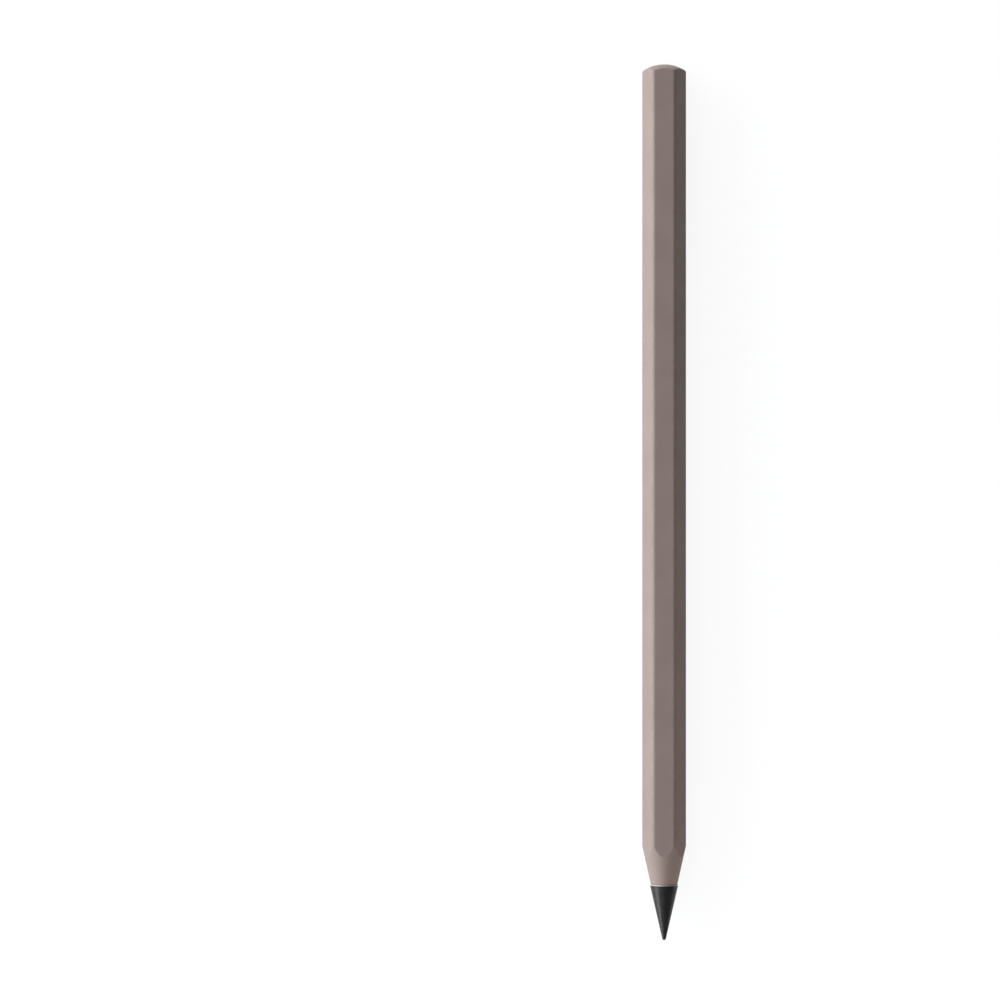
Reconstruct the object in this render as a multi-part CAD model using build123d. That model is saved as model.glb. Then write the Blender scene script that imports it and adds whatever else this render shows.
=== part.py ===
"""Inkless metal pencil: a six-sided aluminium barrel with a screw-in graphite-alloy nib.

Each piece is made along X with the writing point at x = 0, and then laid on one flat of the barrel:
+Z up, the point towards -X, the domed end towards +X, and the origin under the middle of its length.
"""

import os
from math import asin, atan2, cos, hypot, pi, radians, sin, sqrt, tan

from build123d import *

# Driving dimensions, in millimetres and degrees

# Barrel
OVERALL_LENGTH = 160.0
ACROSS_FLATS = 7.15
FLAT_COUNT = 6
CORNER_RADIUS = 0.85
DOME_RADIUS = 7.0
NOSE_HALF_ANGLE = 12.6
RIM_WALL = 0.425
RIM_CHAMFER = 0.1

# Thread of the nib, a plain cylinder here
THREAD_DIAMETER = 3.0
THREAD_PITCH = 0.5
THREAD_DEPTH_PER_PITCH = 0.6134
THREAD_LENGTH = 6.0
THREAD_CLEARANCE = 0.05

# Threaded insert, pressed into the front of the bore
INSERT_WALL = 0.45
INSERT_END_ROOM = 2.0
INSERT_CHAMFER = 0.2

# Plug, pressed into the rear of the bore
PLUG_LENGTH = 6.0
PLUG_CHAMFER = 0.3

# Washer between the nib and the rim
WASHER_THICKNESS = 0.2
WASHER_OVERHANG = 0.06
WASHER_CLEARANCE = 0.1
WASHER_EDGE_RADIUS = 0.04

# Nib cone
NIB_LENGTH = 10.0
NIB_OVERHANG = 0.15
NIB_POINT_RADIUS = 0.35
NIB_EDGE_RADIUS = 0.08

# Anchor of the stud, bonded into the nib cone
ANCHOR_DIAMETER = 2.0
ANCHOR_COVER = 0.6
BOND_GAP = 0.03
ANCHOR_CHAMFER = 0.2
KEY_COUNT = 2
KEY_WIDTH = 0.5
KEY_DEPTH = 0.2
RELIEF_LENGTH = 0.6

# Sizes that follow from the driving ones

apothem = ACROSS_FLATS / 2
corner_reach = apothem / cos(pi / FLAT_COUNT)

thread_radius = THREAD_DIAMETER / 2
thread_depth = THREAD_DEPTH_PER_PITCH * THREAD_PITCH
insert_hole_radius = thread_radius + THREAD_CLEARANCE
bore_radius = insert_hole_radius + INSERT_WALL
rim_radius = bore_radius + RIM_WALL
nib_base_radius = rim_radius + NIB_OVERHANG

# Stations along the pencil, from the writing point
nib_base_x = NIB_LENGTH
rim_x = nib_base_x + WASHER_THICKNESS
stud_end_x = rim_x + THREAD_LENGTH
insert_end_x = stud_end_x + INSERT_END_ROOM

# The nib's flank runs from its base edge tangent to the round of its point
flank_run = NIB_LENGTH - NIB_POINT_RADIUS
flank_reach = hypot(flank_run, nib_base_radius)
flank_angle = atan2(nib_base_radius, flank_run) - asin(NIB_POINT_RADIUS / flank_reach)

# The anchor goes as deep as leaves its cover of graphite round its end
anchor_radius = ANCHOR_DIAMETER / 2
anchor_length = (nib_base_radius - anchor_radius - ANCHOR_COVER) / tan(flank_angle)
anchor_end_x = nib_base_x - anchor_length


def dome_x(radius):
    """Where the domed end has this radius."""
    return OVERALL_LENGTH - DOME_RADIUS + sqrt(DOME_RADIUS**2 - radius**2)


def turned(outline):
    """A solid turned on the pencil's axis from a closed half outline of (x, radius)."""
    return revolve(make_face(outline), Axis.X)


def outline_through(points):
    """A closed outline of straight lines."""
    return Polyline(*points, close=True)


def barrel_shape():
    """The six-sided bar, cut to a cone and a dome by the turned form, and bored through.

    The flats run out in scallops where they meet the turned nose and the dome.
    """
    first_corner = -90 - 180 / FLAT_COUNT
    section = RegularPolygon(apothem, FLAT_COUNT, major_radius=False, rotation=first_corner)
    section = fillet(section.vertices(), CORNER_RADIUS)
    bar = Pos(X=rim_x) * extrude(Plane.YZ * section, OVERALL_LENGTH - rim_x)

    nose_slope = tan(radians(NOSE_HALF_ANGLE))
    chamfer_x = rim_x + RIM_CHAMFER
    nose_end_x = rim_x + (corner_reach - rim_radius) / nose_slope
    dome_start = (dome_x(corner_reach), corner_reach)
    dome_middle_angle = asin(corner_reach / DOME_RADIUS) / 2
    dome_middle = (
        OVERALL_LENGTH - DOME_RADIUS * (1 - cos(dome_middle_angle)),
        DOME_RADIUS * sin(dome_middle_angle),
    )
    nose = Polyline(
        (OVERALL_LENGTH, 0),
        (rim_x, 0),
        (rim_x, rim_radius - RIM_CHAMFER),
        (chamfer_x, rim_radius + RIM_CHAMFER * nose_slope),
        (nose_end_x, corner_reach),
        dome_start,
    )
    dome = ThreePointArc(dome_start, dome_middle, (OVERALL_LENGTH, 0))
    bore = turned(
        outline_through(
            [
                (rim_x, 0),
                (OVERALL_LENGTH, 0),
                (OVERALL_LENGTH, bore_radius),
                (rim_x, bore_radius),
            ]
        )
    )
    return (bar & turned(nose + dome)) - bore


def end_plug_shape():
    """A plug that closes the bore, its outer face turned with the dome."""
    inner_x = OVERALL_LENGTH - PLUG_LENGTH
    dome_edge = (dome_x(bore_radius), bore_radius)
    sides = Polyline(
        (OVERALL_LENGTH, 0),
        (inner_x, 0),
        (inner_x, bore_radius - PLUG_CHAMFER),
        (inner_x + PLUG_CHAMFER, bore_radius),
        dome_edge,
    )
    face_middle = (dome_x(bore_radius / 2), bore_radius / 2)
    return turned(sides + ThreePointArc(dome_edge, face_middle, (OVERALL_LENGTH, 0)))


def threaded_insert_shape():
    """A sleeve flush with the rim, chamfered at the mouth of its hole and round its inner end."""
    return turned(
        outline_through(
            [
                (rim_x + INSERT_CHAMFER, insert_hole_radius),
                (rim_x, insert_hole_radius + INSERT_CHAMFER),
                (rim_x, bore_radius),
                (insert_end_x - INSERT_CHAMFER, bore_radius),
                (insert_end_x, bore_radius - INSERT_CHAMFER),
                (insert_end_x, insert_hole_radius),
            ]
        )
    )


def seat_washer_shape():
    """A flat ring with rounded outer edges, between the rim and the nib."""
    ring_radius = rim_radius + WASHER_OVERHANG
    ring = Cylinder(ring_radius, WASHER_THICKNESS)
    ring = fillet(ring.edges().filter_by(GeomType.CIRCLE), WASHER_EDGE_RADIUS)
    ring -= Cylinder(thread_radius + WASHER_CLEARANCE, WASHER_THICKNESS)
    return Pos(X=nib_base_x + WASHER_THICKNESS / 2) * (Rot(Y=90) * ring)


def nib_stud_shape():
    """A stud with a keyed anchor for the nib, a collar, a relief and a thread with a lead-in."""
    relief_radius = thread_radius - thread_depth
    relief_end_x = rim_x + RELIEF_LENGTH
    stud = turned(
        outline_through(
            [
                (anchor_end_x, 0),
                (anchor_end_x, anchor_radius - ANCHOR_CHAMFER),
                (anchor_end_x + ANCHOR_CHAMFER, anchor_radius),
                (nib_base_x, anchor_radius),
                (nib_base_x, thread_radius),
                (rim_x, thread_radius),
                (rim_x, relief_radius),
                (relief_end_x, relief_radius),
                (relief_end_x + thread_depth, thread_radius),
                (stud_end_x - thread_depth, thread_radius),
                (stud_end_x, relief_radius),
                (stud_end_x, 0),
            ]
        )
    )
    key_step = anchor_length / (KEY_COUNT + 1)
    for number in range(1, KEY_COUNT + 1):
        key = Cylinder(anchor_radius, KEY_WIDTH) - Cylinder(anchor_radius - KEY_DEPTH, KEY_WIDTH)
        stud -= Pos(X=anchor_end_x + number * key_step) * (Rot(Y=90) * key)
    return stud


def nib_tip_shape():
    """The writing cone, round at its point, with a blind socket for the stud's anchor."""
    point_join = (
        NIB_POINT_RADIUS * (1 - sin(flank_angle)),
        NIB_POINT_RADIUS * cos(flank_angle),
    )
    half_turn = (pi / 2 - flank_angle) / 2
    point_middle = (
        NIB_POINT_RADIUS * (1 - cos(half_turn)),
        NIB_POINT_RADIUS * sin(half_turn),
    )
    point = ThreePointArc((0, 0), point_middle, point_join)
    flank = Polyline(point_join, (nib_base_x, nib_base_radius), (nib_base_x, 0), (0, 0))
    cone = turned(point + flank)
    base_edge = cone.edges().filter_by(GeomType.CIRCLE).sort_by(Axis.X).last
    cone = fillet(base_edge, NIB_EDGE_RADIUS)
    socket_radius = anchor_radius + BOND_GAP
    socket_depth = anchor_length + BOND_GAP
    socket = Pos(X=nib_base_x - socket_depth / 2) * (Rot(Y=90) * Cylinder(socket_radius, socket_depth))
    return cone - socket


lying = Pos(X=-OVERALL_LENGTH / 2, Z=apothem)
pieces = {
    "barrel": barrel_shape(),
    "end_plug": end_plug_shape(),
    "threaded_insert": threaded_insert_shape(),
    "seat_washer": seat_washer_shape(),
    "nib_stud": nib_stud_shape(),
    "nib_tip": nib_tip_shape(),
}

os.makedirs("parts", exist_ok=True)
for name, piece in pieces.items():
    export_step(lying * piece, f"parts/{name}.step")
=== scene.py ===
"""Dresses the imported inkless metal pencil.

The pencil lies along X on one flat of its barrel, the writing point towards -X and the dome towards +X.
The camera looks straight down on it, with the dome at the top of the picture.
"""

from math import asin, atan2, cos, pi, radians, sin, sqrt, tan

import bmesh
import bpy
from mathutils import Matrix, Vector


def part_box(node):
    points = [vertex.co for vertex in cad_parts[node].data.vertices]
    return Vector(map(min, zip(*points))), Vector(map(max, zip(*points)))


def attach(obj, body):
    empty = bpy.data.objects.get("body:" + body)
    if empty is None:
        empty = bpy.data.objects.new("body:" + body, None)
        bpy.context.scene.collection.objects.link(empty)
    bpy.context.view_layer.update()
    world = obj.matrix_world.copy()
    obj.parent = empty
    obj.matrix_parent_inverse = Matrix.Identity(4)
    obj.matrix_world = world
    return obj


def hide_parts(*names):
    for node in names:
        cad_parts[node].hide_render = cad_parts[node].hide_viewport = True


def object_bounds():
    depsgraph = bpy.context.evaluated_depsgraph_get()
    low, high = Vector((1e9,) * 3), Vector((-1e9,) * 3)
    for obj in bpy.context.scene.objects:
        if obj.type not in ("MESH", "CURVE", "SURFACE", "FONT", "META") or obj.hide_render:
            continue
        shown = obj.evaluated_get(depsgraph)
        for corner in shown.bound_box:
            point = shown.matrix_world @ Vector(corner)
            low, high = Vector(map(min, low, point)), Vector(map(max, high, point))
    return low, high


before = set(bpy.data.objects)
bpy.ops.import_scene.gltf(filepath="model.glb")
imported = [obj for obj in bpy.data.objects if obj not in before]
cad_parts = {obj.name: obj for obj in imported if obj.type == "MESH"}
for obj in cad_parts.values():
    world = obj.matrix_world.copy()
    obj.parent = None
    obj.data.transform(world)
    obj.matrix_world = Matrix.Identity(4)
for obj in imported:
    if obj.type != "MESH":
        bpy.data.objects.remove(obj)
cad_low, cad_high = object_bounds()

# Sizes of the pencil, in metres, the same as in the solids

MM = 0.001

DOME_END_X = cad_high.x
APOTHEM = 3.575 * MM
FLAT_COUNT = 6
CORNER_RADIUS = 0.85 * MM
HALF_SIDE_ANGLE = pi / FLAT_COUNT
ROUND_CENTRE = (APOTHEM - CORNER_RADIUS) / cos(HALF_SIDE_ANGLE)
CORNER_REACH = ROUND_CENTRE + CORNER_RADIUS
FLAT_END_ANGLE = atan2((APOTHEM - CORNER_RADIUS) * tan(HALF_SIDE_ANGLE), APOTHEM)
DOME_RADIUS = 7.0 * MM
NOSE_SLOPE = tan(radians(12.6))
BORE_RADIUS = 2.0 * MM
RIM_RADIUS = 2.425 * MM
RIM_CHAMFER = 0.1 * MM
RIM_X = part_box("barrel")[0].x
AXIS_Z = APOTHEM

PLUG_INNER_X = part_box("end_plug")[0].x
PLUG_CHAMFER = 0.3 * MM

INSERT_END_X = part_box("threaded_insert")[1].x
INSERT_CHAMFER = 0.2 * MM
INSERT_HOLE_RADIUS = 1.55 * MM

PITCH = 0.5 * MM
STUD_RADIUS = 1.5 * MM
RELIEF_RADIUS = 1.193 * MM
RELIEF_LENGTH = 0.6 * MM
ANCHOR_RADIUS = 1.0 * MM
ANCHOR_CHAMFER = 0.2 * MM
KEY_COUNT = 2
KEY_WIDTH = 0.5 * MM
KEY_DEPTH = 0.2 * MM
NIB_BASE_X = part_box("nib_tip")[1].x
ANCHOR_END_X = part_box("nib_stud")[0].x
STUD_END_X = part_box("nib_stud")[1].x

# Soft edges that the solids leave sharp

NOSE_SOFT = 0.04 * MM
DOME_SOFT = 0.32 * MM
EDGE_ROUND = 0.04 * MM
EDGE_MIDDLE_DROP = 0.3 * EDGE_ROUND
EDGE_MIDDLE_INSET = 0.25 * EDGE_ROUND


def dome_x(radius):
    """Where the domed end has this radius."""
    return DOME_END_X - DOME_RADIUS + sqrt(DOME_RADIUS**2 - radius**2)


def dome_radius(x):
    """How far out the dome reaches at x."""
    return sqrt(DOME_RADIUS**2 - (x - DOME_END_X + DOME_RADIUS) ** 2)


def nose_radius(x):
    """How far out the turned nose cone reaches at x."""
    return RIM_RADIUS + (x - RIM_X) * NOSE_SLOPE


def nose_x(radius):
    """Where the turned nose cone has this radius."""
    return RIM_X + (radius - RIM_RADIUS) / NOSE_SLOPE


# Shaping tools

SEAM_GAP = 0.0005 * MM
SHARP_ANGLE = radians(35)


def off_axis(vertex):
    """The part of a vertex's place that points away from the pencil's axis."""
    return Vector((0, vertex.co.y, vertex.co.z - AXIS_Z))


def put(vertex, x, radius):
    """Moves a vertex to this place along the axis and this distance from it, keeping its angle."""
    outward = off_axis(vertex).normalized() * radius
    vertex.co = Vector((x, outward.y, AXIS_Z + outward.z))


def spaced(first, last, count):
    """Values from first to last in equal steps."""
    return [first + (last - first) * step / (count - 1) for step in range(count)]


def next_ring(shell, ring_edges):
    """Extrudes an open ring and returns the new ring's edges and vertices."""
    made = bmesh.ops.extrude_edge_only(shell, edges=ring_edges)["geom"]
    vertices = [part for part in made if isinstance(part, bmesh.types.BMVert)]
    fresh = set(vertices)
    edges = [
        part
        for part in made
        if isinstance(part, bmesh.types.BMEdge) and fresh.issuperset(part.verts)
    ]
    return edges, vertices


def run_rings(shell, ring_edges, outline):
    """Carries an open ring along an outline of (x, radius) and returns the last ring's edges."""
    for x, radius in outline:
        ring_edges, vertices = next_ring(shell, ring_edges)
        for vertex in vertices:
            put(vertex, x, radius)
    return ring_edges


def chain(shell, outline):
    """A chain of edges through an outline of (x, radius), above the axis."""
    vertices = [shell.verts.new((x, 0, AXIS_Z + radius)) for x, radius in outline]
    edges = [shell.edges.new(pair) for pair in zip(vertices, vertices[1:])]
    return vertices + edges


def finish_piece(shell, name, body, node, finish):
    """Closes a shell's seams, makes it an object and seats it on its body in place of its solid."""
    bmesh.ops.remove_doubles(shell, verts=shell.verts, dist=SEAM_GAP)
    bmesh.ops.recalc_face_normals(shell, faces=shell.faces)
    mesh = bpy.data.meshes.new(name)
    shell.to_mesh(mesh)
    shell.free()
    mesh.shade_smooth()
    mesh.set_sharp_from_angle(angle=SHARP_ANGLE)
    mesh.materials.append(finish)
    piece = bpy.data.objects.new(name, mesh)
    bpy.context.scene.collection.objects.link(piece)
    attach(piece, body)
    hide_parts(node)


# Finishes


def new_finish(name):
    """A node material, with its shader and the pencil's own coordinates."""
    material = bpy.data.materials.new(name)
    material.use_nodes = True
    tree = material.node_tree
    shader = tree.nodes["Principled BSDF"]
    place = tree.nodes.new("ShaderNodeTexCoord").outputs["Object"]
    return material, tree, shader, place


def noise(tree, place, size, detail, roughness=0.5):
    """Cloudy noise with features of about this size in metres."""
    texture = tree.nodes.new("ShaderNodeTexNoise")
    texture.inputs["Scale"].default_value = 1 / size
    texture.inputs["Detail"].default_value = detail
    texture.inputs["Roughness"].default_value = roughness
    tree.links.new(place, texture.inputs["Vector"])
    return texture.outputs["Fac"]


def spread(tree, value, low, high, from_low=0.3, from_high=0.7):
    """Maps a value's middle range onto low to high."""
    remap = tree.nodes.new("ShaderNodeMapRange")
    remap.inputs["From Min"].default_value = from_low
    remap.inputs["From Max"].default_value = from_high
    remap.inputs["To Min"].default_value = low
    remap.inputs["To Max"].default_value = high
    tree.links.new(value, remap.inputs["Value"])
    return remap.outputs["Result"]


def maths(tree, operation, first, second):
    """One sum on two values, each a socket or a number."""
    step = tree.nodes.new("ShaderNodeMath")
    step.operation = operation
    for socket, value in zip(step.inputs, (first, second)):
        if isinstance(value, (int, float)):
            socket.default_value = value
        else:
            tree.links.new(value, socket)
    return step.outputs["Value"]


def tint(tree, share, first, second):
    """Goes from the first colour to the second with share. Either may be a socket."""
    blend = tree.nodes.new("ShaderNodeMix")
    blend.data_type = "RGBA"
    tree.links.new(share, blend.inputs["Factor"])
    for socket, colour in ((blend.inputs["A"], first), (blend.inputs["B"], second)):
        if isinstance(colour, tuple):
            socket.default_value = (*colour, 1)
        else:
            tree.links.new(colour, socket)
    return blend.outputs["Result"]


def relief(tree, shader, height, depth, strength, under=None):
    """Bumps the surface by height times depth, on top of another relief where one is given."""
    bump = tree.nodes.new("ShaderNodeBump")
    bump.inputs["Distance"].default_value = depth
    bump.inputs["Strength"].default_value = strength
    tree.links.new(height, bump.inputs["Height"])
    if under:
        tree.links.new(under, bump.inputs["Normal"])
    tree.links.new(bump.outputs["Normal"], shader.inputs["Normal"])
    return bump.outputs["Normal"]


def lathe_lines(tree, place, spacing):
    """Fine lines round the pencil's axis, as a cutting tool leaves them, from x and radius alone."""
    parts = tree.nodes.new("ShaderNodeSeparateXYZ")
    tree.links.new(place, parts.inputs["Vector"])
    height = maths(tree, "SUBTRACT", parts.outputs["Z"], AXIS_Z)
    radius_squared = maths(
        tree,
        "ADD",
        maths(tree, "MULTIPLY", parts.outputs["Y"], parts.outputs["Y"]),
        maths(tree, "MULTIPLY", height, height),
    )
    turned_place = tree.nodes.new("ShaderNodeCombineXYZ")
    tree.links.new(parts.outputs["X"], turned_place.inputs["X"])
    tree.links.new(maths(tree, "SQRT", radius_squared, 0), turned_place.inputs["Y"])
    return noise(tree, turned_place.outputs["Vector"], spacing, detail=3, roughness=0.7)


def anodised_taupe():
    """Bead-blasted aluminium, dyed a warm grey: an even satin with a fine blasted grain."""
    deep_dye = (0.181, 0.1375, 0.122)
    light_dye = (0.193, 0.148, 0.132)
    dark_grain = (0.118, 0.09, 0.08)
    bare_metal = (0.52, 0.5, 0.48)
    material, tree, shader, place = new_finish("anodised_taupe")
    grain = noise(tree, place, size=0.12 * MM, detail=2)
    cloud = noise(tree, place, size=6 * MM, detail=3)
    patch = noise(tree, place, size=0.9 * MM, detail=4, roughness=0.65)
    dye = tint(tree, spread(tree, cloud, low=0, high=1), deep_dye, light_dye)
    dye = tint(tree, spread(tree, grain, low=0, high=0.12), dye, dark_grain)
    edge = tree.nodes.new("ShaderNodeAttribute")
    edge.attribute_name = "rubbed_edge"
    worn_patch = spread(tree, patch, low=0, high=0.06, from_low=0.45, from_high=0.75)
    rubbed = maths(tree, "MULTIPLY", edge.outputs["Fac"], worn_patch)
    tree.links.new(tint(tree, rubbed, dye, bare_metal), shader.inputs["Base Color"])
    tree.links.new(spread(tree, grain, low=0.66, high=0.76), shader.inputs["Roughness"])
    shader.inputs["Metallic"].default_value = 0.2
    shader.inputs["IOR"].default_value = 1.25
    relief(tree, shader, grain, depth=0.005 * MM, strength=0.4)
    return material


def turned_metal(name, colour, dark_colour, roughness):
    """Bare metal with the fine lines of the lathe on it."""
    line_roughness = 0.07
    material, tree, shader, place = new_finish(name)
    lines = lathe_lines(tree, place, spacing=0.05 * MM)
    stain = noise(tree, place, size=1.5 * MM, detail=3)
    tone = tint(tree, spread(tree, stain, low=0, high=0.35), colour, dark_colour)
    tree.links.new(tone, shader.inputs["Base Color"])
    gloss = spread(tree, lines, roughness - line_roughness, roughness + line_roughness)
    tree.links.new(gloss, shader.inputs["Roughness"])
    shader.inputs["Metallic"].default_value = 1.0
    relief(tree, shader, lines, depth=0.003 * MM, strength=0.5)
    return material


def blasted_steel():
    """Fine-blasted steel of the washer: a light, even grey with hardly any mirror to it."""
    deep_grey = (0.29, 0.275, 0.265)
    light_grey = (0.35, 0.335, 0.325)
    material, tree, shader, place = new_finish("blasted_steel")
    grain = noise(tree, place, size=0.06 * MM, detail=2)
    tone = tint(tree, spread(tree, grain, low=0, high=1), deep_grey, light_grey)
    tree.links.new(tone, shader.inputs["Base Color"])
    shader.inputs["Roughness"].default_value = 0.6
    shader.inputs["Metallic"].default_value = 0.2
    relief(tree, shader, grain, depth=0.003 * MM, strength=0.4)
    return material


def graphite_alloy():
    """Dense dark graphite alloy, turned to a cone: fine grain, faint tool lines and small painted glints,
    light specks put into the base colour.
    """
    deep_charcoal = (0.026, 0.0237, 0.0226)
    light_charcoal = (0.0352, 0.0322, 0.0308)
    painted_glint_colour = (0.075, 0.072, 0.07)
    material, tree, shader, place = new_finish("graphite_alloy")
    grain = noise(tree, place, size=0.09 * MM, detail=3, roughness=0.6)
    smear = noise(tree, place, size=1.2 * MM, detail=4, roughness=0.6)
    lines = lathe_lines(tree, place, spacing=0.07 * MM)
    tone = tint(tree, spread(tree, smear, low=0, high=1), deep_charcoal, light_charcoal)
    # Painted glints: the brightest grain specks get a lighter base colour that stands in for sparkle
    painted_glint_share = spread(tree, grain, low=0, high=0.6, from_low=0.62, from_high=0.8)
    tone = tint(tree, painted_glint_share, tone, painted_glint_colour)
    tree.links.new(tone, shader.inputs["Base Color"])
    tree.links.new(spread(tree, smear, low=0.3, high=0.4), shader.inputs["Roughness"])
    shader.inputs["Metallic"].default_value = 0.6
    shader.inputs["IOR"].default_value = 1.25
    under = relief(tree, shader, lines, depth=0.004 * MM, strength=0.4)
    relief(tree, shader, grain, depth=0.006 * MM, strength=0.4, under=under)
    return material


# Barrel


def flat_angle(vertex):
    """The angle round the axis from the middle of the nearest flat to a vertex."""
    outward = off_axis(vertex)
    from_lowest_flat = atan2(outward.z, outward.y) + pi / 2
    return abs((from_lowest_flat + HALF_SIDE_ANGLE) % (2 * HALF_SIDE_ANGLE) - HALF_SIDE_ANGLE)


def bar_reach(angle):
    """How far out the bar reaches at this angle from a flat's middle, on the flat or round its corner."""
    if angle < FLAT_END_ANGLE:
        return APOTHEM / cos(angle)
    from_corner = HALF_SIDE_ANGLE - angle
    sideways = ROUND_CENTRE * sin(from_corner)
    return ROUND_CENTRE * cos(from_corner) + sqrt(CORNER_RADIUS**2 - sideways**2)


def softened(bar_radius, turned_radius, soft):
    """The smaller of two radii, rounded where they cross, and how near the crossing it is."""
    near = max(soft - abs(bar_radius - turned_radius), 0) / soft
    return min(bar_radius, turned_radius) - near * near * soft / 4, near


def barrel_outline():
    """Stations of (x, turned radius, softness of the edge there) from the rim's hole to the dome's."""
    cone_rings = 12
    scallop_rings = 72
    bar_rings = 42
    dome_edge_rings = 36
    dome_rings = 14
    beyond_bar = 2 * APOTHEM
    scallop_start = nose_x(APOTHEM - NOSE_SOFT)
    scallop_end = nose_x(CORNER_REACH + NOSE_SOFT)
    dome_start = dome_x(CORNER_REACH + DOME_SOFT)
    inside_flats = APOTHEM - DOME_SOFT
    dome_meets_flats = dome_x(inside_flats)
    mouth_x = dome_x(BORE_RADIUS)

    stations = [
        (RIM_X, BORE_RADIUS, NOSE_SOFT),
        (RIM_X, RIM_RADIUS - RIM_CHAMFER, NOSE_SOFT),
    ]
    for x in spaced(RIM_X + RIM_CHAMFER, scallop_start, cone_rings)[:-1]:
        stations.append((x, nose_radius(x), NOSE_SOFT))
    for x in spaced(scallop_start, scallop_end, scallop_rings):
        stations.append((x, nose_radius(x), NOSE_SOFT))
    for x in spaced(scallop_end, dome_start, bar_rings)[1:-1]:
        stations.append((x, beyond_bar, DOME_SOFT))
    for x in spaced(dome_start, dome_meets_flats, dome_edge_rings):
        stations.append((x, dome_radius(x), DOME_SOFT))
    for radius in spaced(inside_flats, BORE_RADIUS + EDGE_ROUND, dome_rings)[1:]:
        stations.append((dome_x(radius), radius, DOME_SOFT))
    stations.append((mouth_x - EDGE_MIDDLE_DROP, BORE_RADIUS + EDGE_MIDDLE_INSET, DOME_SOFT))
    stations.append((mouth_x - EDGE_ROUND, BORE_RADIUS, DOME_SOFT))
    return stations


def make_barrel(finish):
    """The six-sided bar, pulled in ring by ring to the turned nose and dome, and bored through."""
    corner_segments = 12
    flat_cuts = 30
    shell = bmesh.new()
    bar_radius = shell.verts.layers.float.new("bar_radius")
    rubbed = shell.verts.layers.float.new("rubbed_edge")

    upright = Matrix.Rotation(pi / 2, 4, "Y") @ Matrix.Rotation(HALF_SIDE_ANGLE - pi / 2, 4, "Z")
    across = Matrix.Translation((RIM_X, 0, AXIS_Z)) @ upright
    corners = bmesh.ops.create_circle(
        shell, cap_ends=True, radius=CORNER_REACH, segments=FLAT_COUNT, matrix=across
    )["verts"]
    bmesh.ops.bevel(
        shell,
        geom=corners,
        offset=CORNER_RADIUS * tan(HALF_SIDE_ANGLE),
        affect="VERTICES",
        segments=corner_segments,
        profile=0.5,
        material=-1,
    )
    flats = [edge for edge in shell.edges if edge.calc_length() > APOTHEM / 2]
    bmesh.ops.subdivide_edges(shell, edges=flats, cuts=flat_cuts)
    bmesh.ops.delete(shell, geom=shell.faces[:], context="FACES_ONLY")
    for vertex in shell.verts:
        vertex[bar_radius] = bar_reach(flat_angle(vertex))

    ring = shell.edges[:]
    stations = barrel_outline()
    first_x, first_radius, _ = stations[0]
    for vertex in shell.verts:
        put(vertex, first_x, first_radius)
    for x, turned_radius, soft in stations[1:]:
        ring, vertices = next_ring(shell, ring)
        for vertex in vertices:
            radius, near = softened(vertex[bar_radius], turned_radius, soft)
            on_corner = flat_angle(vertex) > FLAT_END_ANGLE and turned_radius > vertex[bar_radius]
            vertex[rubbed] = 1.0 if on_corner else near
            put(vertex, x, radius)
    run_rings(shell, ring, [(RIM_X, BORE_RADIUS)])
    finish_piece(shell, "barrel_dressed", "barrel_body", "barrel", finish)


# End plug


def make_end_plug(finish):
    """The plug that closes the bore, its face turned with the dome and its edge just broken."""
    face_rings = 16
    steps_round = 96
    edge_x = dome_x(BORE_RADIUS)
    face_edge = BORE_RADIUS - EDGE_ROUND
    shell = bmesh.new()
    outline = [
        (PLUG_INNER_X, 0),
        (PLUG_INNER_X, BORE_RADIUS - PLUG_CHAMFER),
        (PLUG_INNER_X + PLUG_CHAMFER, BORE_RADIUS),
        (edge_x - EDGE_ROUND, BORE_RADIUS),
        (edge_x - EDGE_MIDDLE_DROP, BORE_RADIUS - EDGE_MIDDLE_INSET),
    ]
    for angle in spaced(asin(face_edge / DOME_RADIUS), 0, face_rings):
        outline.append((DOME_END_X - DOME_RADIUS * (1 - cos(angle)), DOME_RADIUS * sin(angle)))
    bmesh.ops.spin(
        shell,
        geom=chain(shell, outline),
        cent=(0, 0, AXIS_Z),
        axis=(1, 0, 0),
        angle=2 * pi,
        steps=steps_round,
        use_merge=True,
    )
    finish_piece(shell, "end_plug_dressed", "barrel_body", "end_plug", finish)


# Threads

# Flats of the threads, as shares of the pitch
STUD_ROOT_FLAT = 0.27
STUD_CREST_FLAT = 0.11
SLEEVE_CREST_FLAT = 0.24
SLEEVE_ROOT_FLAT = 0.13

# Room at the crests and roots, and round the sleeve
STUD_CREST_ROOM = 0.02 * MM
STUD_ROOT_ROOM = 0.01 * MM
SLEEVE_CREST_ROOM = 0.075 * MM
SLEEVE_FIT = 0.005 * MM

# Both threads are wound from before the rim and past their ends, and then trimmed
WOUND_FROM_X = RIM_X - 2 * PITCH
STUD_TURNS = 16
SLEEVE_TURNS = 21
THREAD_SEAM_GAP = 0.002 * MM


def thread_outline(first_x, turns, low, high, low_flat, high_flat):
    """A thread cut through its axis, as (x, radius).

    Each turn is a flat at low, a flank, a flat at high and a flank back.
    """
    flank = (1 - low_flat - high_flat) / 2
    shape = [(0, low), (low_flat, low), (low_flat + flank, high), (1 - flank, high), (1, low)]
    parts_per_stretch = 4
    outline = []
    for turn in range(turns):
        for (start, from_radius), (stop, to_radius) in zip(shape, shape[1:]):
            for part in range(parts_per_stretch):
                share = part / parts_per_stretch
                along = turn + start + (stop - start) * share
                outline.append((first_x + along * PITCH, from_radius + (to_radius - from_radius) * share))
    outline.append((first_x + turns * PITCH, low))
    return outline


def wind_thread(shell, outline):
    """Winds a thread's outline once round the axis while it moves on by one pitch, right-handed."""
    steps = 64
    bmesh.ops.spin(
        shell,
        geom=chain(shell, outline),
        cent=(0, 0, AXIS_Z),
        axis=(1, 0, 0),
        dvec=(PITCH / steps, 0, 0),
        angle=2 * pi,
        steps=steps,
    )
    bmesh.ops.remove_doubles(shell, verts=shell.verts, dist=THREAD_SEAM_GAP)


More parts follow.
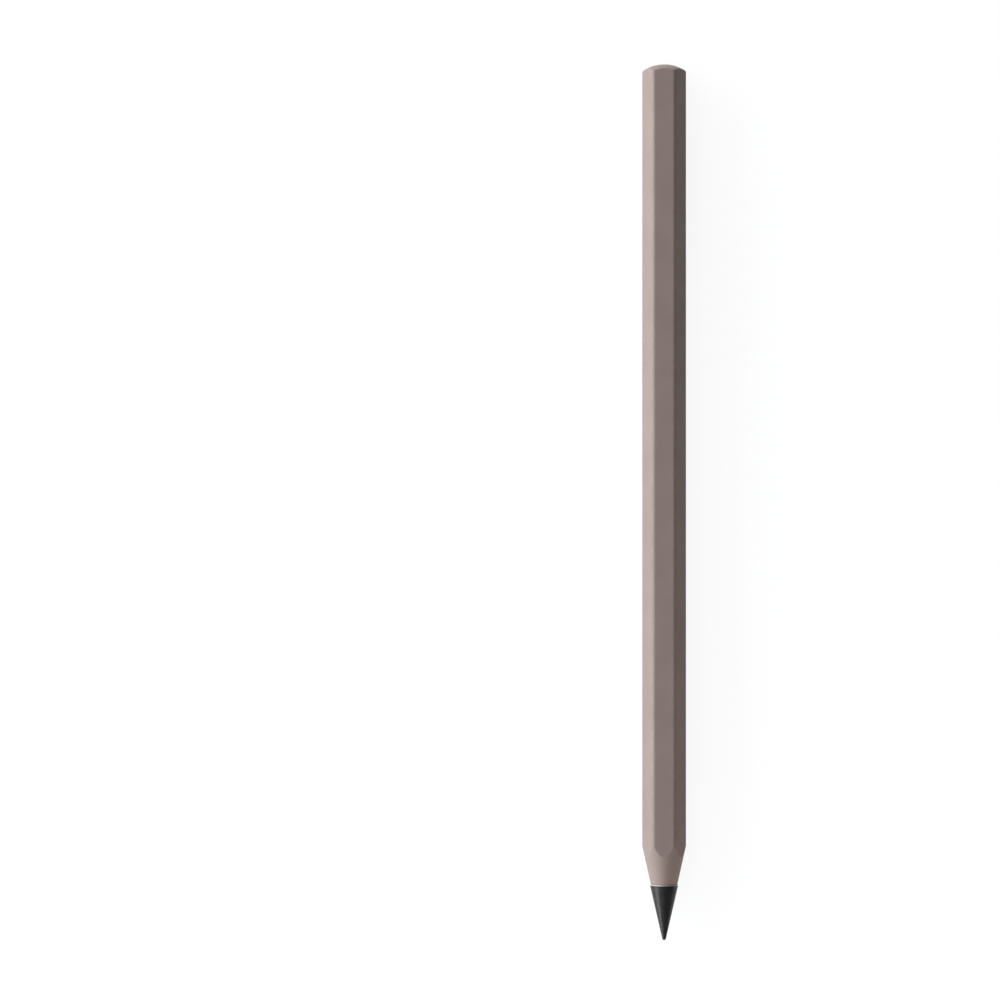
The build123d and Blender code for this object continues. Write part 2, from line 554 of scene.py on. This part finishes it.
def trim(shell, x, outward):
    """Cuts the shell off at x, on the side that outward points to, and returns the cut's edges."""
    cut = bmesh.ops.bisect_plane(
        shell,
        geom=shell.verts[:] + shell.edges[:] + shell.faces[:],
        plane_co=(x, 0, 0),
        plane_no=(outward, 0, 0),
        clear_outer=True,
    )["geom_cut"]
    return [part for part in cut if isinstance(part, bmesh.types.BMEdge)]


def make_nib_stud(finish):
    """The stud: a wound thread, its lead-in and relief, the collar and the keyed anchor in the nib."""
    thread_start_x = RIM_X + RELIEF_LENGTH
    crest = STUD_RADIUS - STUD_CREST_ROOM
    root = RELIEF_RADIUS + STUD_ROOT_ROOM
    shell = bmesh.new()
    thread = thread_outline(WOUND_FROM_X, STUD_TURNS, root, crest, STUD_ROOT_FLAT, STUD_CREST_FLAT)
    wind_thread(shell, thread)
    for vertex in shell.verts:
        from_end = min(vertex.co.x - thread_start_x, STUD_END_X - vertex.co.x)
        limit = root + max(from_end, 0)
        if off_axis(vertex).length > limit:
            put(vertex, vertex.co.x, limit)
    end = trim(shell, STUD_END_X, 1)
    bmesh.ops.holes_fill(shell, edges=end)
    start = trim(shell, thread_start_x, -1)

    key_step = (NIB_BASE_X - ANCHOR_END_X) / (KEY_COUNT + 1)
    outline = [
        (thread_start_x, RELIEF_RADIUS),
        (RIM_X, RELIEF_RADIUS),
        (RIM_X, STUD_RADIUS),
        (NIB_BASE_X, STUD_RADIUS),
        (NIB_BASE_X, ANCHOR_RADIUS),
    ]
    for number in range(KEY_COUNT, 0, -1):
        key_x = ANCHOR_END_X + number * key_step
        outline += [
            (key_x + KEY_WIDTH / 2, ANCHOR_RADIUS),
            (key_x + KEY_WIDTH / 2, ANCHOR_RADIUS - KEY_DEPTH),
            (key_x - KEY_WIDTH / 2, ANCHOR_RADIUS - KEY_DEPTH),
            (key_x - KEY_WIDTH / 2, ANCHOR_RADIUS),
        ]
    outline += [
        (ANCHOR_END_X + ANCHOR_CHAMFER, ANCHOR_RADIUS),
        (ANCHOR_END_X, ANCHOR_RADIUS - ANCHOR_CHAMFER),
    ]
    anchor_end = run_rings(shell, start, outline)
    bmesh.ops.holes_fill(shell, edges=anchor_end)
    finish_piece(shell, "nib_stud_dressed", "nib_body", "nib_stud", finish)


def make_threaded_insert(finish):
    """The brass sleeve in the barrel's front bore, with the nib's thread wound inside it."""
    outer = BORE_RADIUS - SLEEVE_FIT
    crest = RELIEF_RADIUS + SLEEVE_CREST_ROOM
    root = INSERT_HOLE_RADIUS
    shell = bmesh.new()
    # The sleeve's ridge stands in the middle of the stud's groove
    ridge_shift = (STUD_ROOT_FLAT - SLEEVE_CREST_FLAT) / 2 * PITCH
    first_x = WOUND_FROM_X + ridge_shift
    thread = thread_outline(first_x, SLEEVE_TURNS, crest, root, SLEEVE_CREST_FLAT, SLEEVE_ROOT_FLAT)
    wind_thread(shell, thread)
    for vertex in shell.verts:
        from_mouth = min(vertex.co.x - RIM_X, INSERT_END_X - vertex.co.x)
        limit = INSERT_HOLE_RADIUS + INSERT_CHAMFER - max(from_mouth, 0)
        if off_axis(vertex).length < limit:
            put(vertex, vertex.co.x, limit)
    inner_end = trim(shell, INSERT_END_X, 1)
    mouth = trim(shell, RIM_X, -1)
    outline = [
        (RIM_X, outer),
        (INSERT_END_X - INSERT_CHAMFER, outer),
        (INSERT_END_X, outer - INSERT_CHAMFER),
    ]
    last = run_rings(shell, mouth, outline)
    bmesh.ops.bridge_loops(shell, edges=last + inner_end)
    finish_piece(
        shell, "threaded_insert_dressed", "barrel_body", "threaded_insert", finish
    )


# Pieces

taupe = anodised_taupe()
steel = turned_metal(
    "bright_steel",
    colour=(0.46, 0.445, 0.43),
    dark_colour=(0.36, 0.345, 0.33),
    roughness=0.42,
)
brass = turned_metal(
    "turned_brass",
    colour=(0.66, 0.48, 0.2),
    dark_colour=(0.5, 0.35, 0.13),
    roughness=0.28,
)
washer_steel = blasted_steel()
graphite = graphite_alloy()

make_barrel(taupe)
make_end_plug(taupe)
make_threaded_insert(brass)
make_nib_stud(steel)
for kept_node, kept_finish in (("seat_washer", washer_steel), ("nib_tip", graphite)):
    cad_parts[kept_node].data.materials[0] = kept_finish

# Floor


def floor_finish():
    """White paper: lit by the lamps, and mostly white by itself to the camera and in reflections."""
    own_white = 0.9
    paper_white = (0.85, 0.85, 0.85, 1)
    material = bpy.data.materials.new("white_paper")
    material.use_nodes = True
    tree = material.node_tree
    tree.nodes.clear()
    rays = tree.nodes.new("ShaderNodeLightPath")
    seen = maths(tree, "MAXIMUM", rays.outputs["Is Camera Ray"], rays.outputs["Is Glossy Ray"])
    seen = maths(tree, "MAXIMUM", seen, rays.outputs["Is Transmission Ray"])
    paper = tree.nodes.new("ShaderNodeBsdfDiffuse")
    paper.inputs["Color"].default_value = paper_white
    glow = tree.nodes.new("ShaderNodeEmission")
    glow.inputs["Color"].default_value = (1, 1, 1, 1)
    glow.inputs["Strength"].default_value = 1.0
    blend = tree.nodes.new("ShaderNodeMixShader")
    tree.links.new(maths(tree, "MULTIPLY", seen, own_white), blend.inputs["Fac"])
    tree.links.new(paper.outputs["BSDF"], blend.inputs[1])
    tree.links.new(glow.outputs["Emission"], blend.inputs[2])
    output = tree.nodes.new("ShaderNodeOutputMaterial")
    tree.links.new(blend.outputs["Shader"], output.inputs["Surface"])
    return material


def make_floor():
    """A wide plain floor under the pencil."""
    reach = 4.0
    shell = bmesh.new()
    bmesh.ops.create_grid(shell, x_segments=4, y_segments=4, size=reach)
    mesh = bpy.data.meshes.new("floor")
    shell.to_mesh(mesh)
    shell.free()
    mesh.materials.append(floor_finish())
    floor = bpy.data.objects.new("floor", mesh)
    bpy.context.scene.collection.objects.link(floor)


make_floor()

# Light

MIDDLE = Vector((0, 0, AXIS_Z))
PLAIN_WHITE = (1.0, 1.0, 1.0)
COOL_WHITE = (0.9, 0.99, 1.06)


def soft_box(name, place, width, height, brightness, colour, mirrored=True):
    """A flat lamp that faces the pencil and shines evenly at this brightness. Its width lies level.

    A lamp that isn't mirrored lights the surfaces and leaves no glare on them.
    """
    lamp = bpy.data.lights.new(name, "AREA")
    lamp.shape = "RECTANGLE"
    lamp.size = width
    lamp.size_y = height
    lamp.color = colour
    lamp.energy = brightness * pi * width * height
    box = bpy.data.objects.new(name, lamp)
    box.location = place
    away = Vector(place) - MIDDLE
    box.rotation_euler = away.to_track_quat("Z", "Y").to_euler()
    box.visible_camera = False
    box.visible_glossy = mirrored
    bpy.context.scene.collection.objects.link(box)


soft_box(
    "left_low_box",
    place=(0, 0.6, 0.18),
    width=2.0,
    height=0.34,
    brightness=6.7,
    colour=COOL_WHITE,
)
soft_box(
    "left_high_box",
    place=(0, 0.4, 0.75),
    width=1.0,
    height=0.35,
    brightness=2.0,
    colour=COOL_WHITE,
)
soft_box(
    "nib_end_box",
    place=(-0.62, -0.04, 0.16),
    width=0.9,
    height=0.3,
    brightness=10.2,
    colour=PLAIN_WHITE,
    mirrored=False,
)
soft_box(
    "dome_end_box",
    place=(0.5, 0.35, 0.17),
    width=0.8,
    height=0.32,
    brightness=8.8,
    colour=PLAIN_WHITE,
    mirrored=False,
)

world = bpy.data.worlds.new("studio")
world.use_nodes = True
backdrop = world.node_tree.nodes["Background"]
backdrop.inputs["Color"].default_value = (1, 1, 1, 1)
backdrop.inputs["Strength"].default_value = 0.04
bpy.context.scene.world = world

# Camera


def make_camera():
    """Straight above the pencil, dome up, turned a little so that the pencil stands right of the middle."""
    distance = 0.8
    along = 0.00043
    turn_aside = radians(2.148)
    camera = bpy.data.cameras.new("camera")
    camera.sensor_width = 36
    camera.lens = 157.5
    holder = bpy.data.objects.new("camera", camera)
    forward = Vector((0, sin(turn_aside), -cos(turn_aside)))
    up = Vector((1, 0, 0))
    right = forward.cross(up)
    facing = Matrix((right, up, -forward)).transposed().to_4x4()
    holder.matrix_world = Matrix.Translation((along, 0, AXIS_Z + distance)) @ facing
    bpy.context.scene.collection.objects.link(holder)
    bpy.context.scene.camera = holder


make_camera()

bpy.context.scene.view_settings.view_transform = "Standard"
